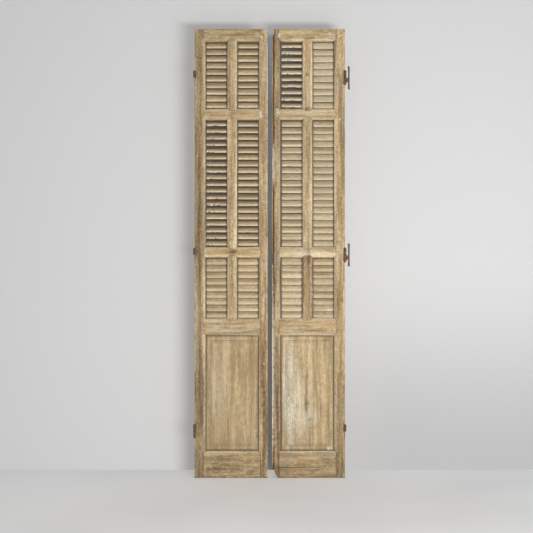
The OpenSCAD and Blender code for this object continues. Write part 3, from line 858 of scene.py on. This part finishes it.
def aged_slats(node, chip):
    """A column of slats, each a little off its neighbours' slope and with its own worn nosing."""
    dice = random.Random(node)
    bm = clean_copy(node)
    slice_up(bm, ACROSS, CHIPPED_STEP if node in CHIPS else PLAIN_STEP)
    layers = bm.verts.layers.float
    wear, dirt_and_shade, tones, seeds, paint, bleach_and_highlight = (
        layers.new(name) for name in ("wear", "dirt_and_shade", "tone", "seed", "paint", "bleach_and_highlight")
    )
    low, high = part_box(node)
    first, last = low.x + PIVOT, high.x - PIVOT
    cut_at(bm, INTO, [low.y + (high.y - low.y) * part for part in (*NOSING, *BACK_CUTS)])
    for group in slats_of(bm):
        centre = sum((vert.co for vert in group), Vector()) / len(group)
        depth = centre.y - min(vert.co.y for vert in group)
        turn = math.radians(dice.gauss(0, SLOPE_SPREAD))
        seed = dice.random()
        tone = SLAT_TONES.get(node, 0) + dice.gauss(0, TONE_SPREAD)
        for vert in group:
            away = vert.co - centre
            back = (vert.co.y - low.y) / (high.y - low.y)
            fore = max(0, min(1, (NOSING[1] - back) / (NOSING[1] - NOSING[0])))
            nick = nick_at(node, (vert.co.x - first) / (last - first), vert.co.x, seed)
            y = away.y * math.cos(turn) - away.z * math.sin(turn)
            z = away.y * math.sin(turn) + away.z * math.cos(turn)
            # Dirt and painted shade at the slat's ends, wider at the right end as the stile's painted shadow
            spread = END_SHADOW_SPREAD[0] + END_SHADOW_SPREAD[1] * back
            from_end = min(vert.co.x - first, (last - vert.co.x) / spread)
            corner = max(0, min(1, 1 - from_end / END_DIRT_AND_SHADE))
            inward = Vector((0, y, z)) * (-fore * (chip * nick + END_WEAR * corner ** 2) / depth)
            vert.co = centre + Vector((away.x, y, z)) + inward
            vert[wear] = fore
            # Painted shade deeper on the slat, where the slat above would shade it
            deep = max(0, back - NOSING[1]) / (1 - NOSING[1])
            vert[dirt_and_shade] = max(corner, min(1, deep ** BACK_SHADE_CURVE * SLAT_BACK_SHADE.get(node, PLAIN_BACK_SHADE)))
            vert[bleach_and_highlight] = SLAT_BLEACH.get(node, 0)
            vert[tones] = tone
            vert[seeds] = seed
            flaked = FLAKED * fore * min(1, chip / CHIPPED) * min(1, FLAKED_WHOLE + nick)
            vert[paint] = max(mark_at(vert.co, PAINT_MARKS), flaked)
    return add_piece(bm, node, SLAT_PINE, sharp=50)


for side in ("left", "right"):
    for height in ("upper", "middle", "lower"):
        for place in ("outer", "inner"):
            node = f"{side}_{height}_{place}_slats"
            aged_slats(node, CHIPS.get(node, PLAIN_CHIP))


# Hinges and pegs

# How round the iron's edges are and from what length, how deep they are eaten and the faces pitted
IRON_ARRIS = 0.0006
IRON_SHORTEST = 0.004
IRON_EATEN = 0.0008
IRON_PITTED = 0.0004
# The lengths into which hinges, and the small stump, are cut
HINGE_STEP = 0.005
STUMP_STEP = 0.004


def rusted_iron(node, finish, step):
    """A piece of hinge with its edges eaten and its faces pitted."""
    bm = clean_copy(node)
    round_arrises(bm, IRON_ARRIS, IRON_SHORTEST)
    for axis in (UP, ACROSS, INTO):
        slice_up(bm, axis, step)
    weather(bm, UP, IRON_EATEN, IRON_PITTED, random.Random(node).random())
    return add_piece(bm, node, finish, sharp=40)


for side in ("left", "right"):
    for height in ("upper", "middle", "lower"):
        rusted_iron(f"{side}_{height}_hinge", DARK_IRON, HINGE_STEP)
for height in ("upper", "middle"):
    rusted_iron(f"right_{height}_wall_plate", RUSTY_IRON, HINGE_STEP)
    NODES[f"right_{height}_hinge_pin"].data.materials[0] = RUSTY_IRON
rusted_iron("left_lower_knuckle_stump", DARK_IRON, STUMP_STEP)
NODES["left_lower_hinge_pin"].data.materials[0] = RUSTY_IRON
NODES["hinge_screws"].data.materials[0] = RUSTY_IRON
NODES["tenon_pegs"].data.materials[0] = PEG_PINE


# Floor and wall

def stage_sheet(name, corners, finish):
    mesh = bpy.data.meshes.new(name)
    mesh.from_pydata(corners, [], [(0, 1, 2, 3)])
    mesh.materials.append(finish)
    sheet = bpy.data.objects.new(name, mesh)
    bpy.context.scene.collection.objects.link(sheet)
    return sheet


# How far the floor and the wall reach, and how far behind the pair the wall stands
REACH = 9.0
WALL_Y = 0.18
floor_corners = [(-REACH, -REACH, 0), (REACH, -REACH, 0), (REACH, REACH, 0), (-REACH, REACH, 0)]
wall_corners = [(-REACH, WALL_Y, 0), (REACH, WALL_Y, 0), (REACH, WALL_Y, REACH), (-REACH, WALL_Y, REACH)]
floor = stage_sheet("studio_floor", floor_corners, FLOOR_PAINT)
wall = stage_sheet("studio_wall", wall_corners, WALL_PAINT)
# The wall takes the leaves' shadow, and keeps no light from their backs.
wall.visible_diffuse = False
wall.visible_shadow = False


# Light and camera

def soft_lamp(name, place, aim, width, height, power):
    lamp = bpy.data.lights.new(name, "AREA")
    lamp.shape = "ELLIPSE"
    lamp.size = width
    lamp.size_y = height
    lamp.energy = power
    holder = bpy.data.objects.new(name, lamp)
    holder.location = place
    holder.rotation_euler = (Vector(aim) - Vector(place)).to_track_quat("-Z", "Y").to_euler()
    bpy.context.scene.collection.objects.link(holder)
    return holder


scene = bpy.context.scene
# Where both lamps are aimed, and how strongly the air itself gives light
PAIR_MIDDLE = (0, 0, 1.2)
AIR_LIGHT = 0.39
soft_lamp("window_light", (1.4, -4.2, 0.6), PAIR_MIDDLE, width=2.2, height=0.7, power=126)
# A weaker light for the backs, which falls on the leaves alone
back_light = soft_lamp("back_light", (1.0, 3.4, 2.2), PAIR_MIDDLE, width=2.0, height=2.0, power=42)
lit_from_behind = bpy.data.collections.new("lit_from_behind")
for thing in scene.objects:
    if thing.type == "MESH" and thing not in (floor, wall):
        lit_from_behind.objects.link(thing)
back_light.light_linking.receiver_collection = lit_from_behind

world = bpy.data.worlds.new("studio_air")
scene.world = world
world.use_nodes = True
world.node_tree.nodes["Background"].inputs["Color"].default_value = (1, 1, 1, 1)
world.node_tree.nodes["Background"].inputs["Strength"].default_value = AIR_LIGHT
scene.view_settings.view_transform = "Standard"

camera = bpy.data.cameras.new("photo_view")
camera.sensor_width = 36
camera.lens = camera.sensor_width * EYE_DISTANCE / (PHOTO_W * PIXEL)
eye = bpy.data.objects.new("photo_view", camera)
eye.location = (
    (PHOTO_W / 2 - FOOT_PX[0]) * PIXEL,
    LEAF_FRONT - EYE_DISTANCE,
    (FOOT_PX[1] - PHOTO_W / 2) * PIXEL,
)
eye.rotation_euler = (math.pi / 2, 0, 0)
scene.collection.objects.link(eye)
scene.camera = eye
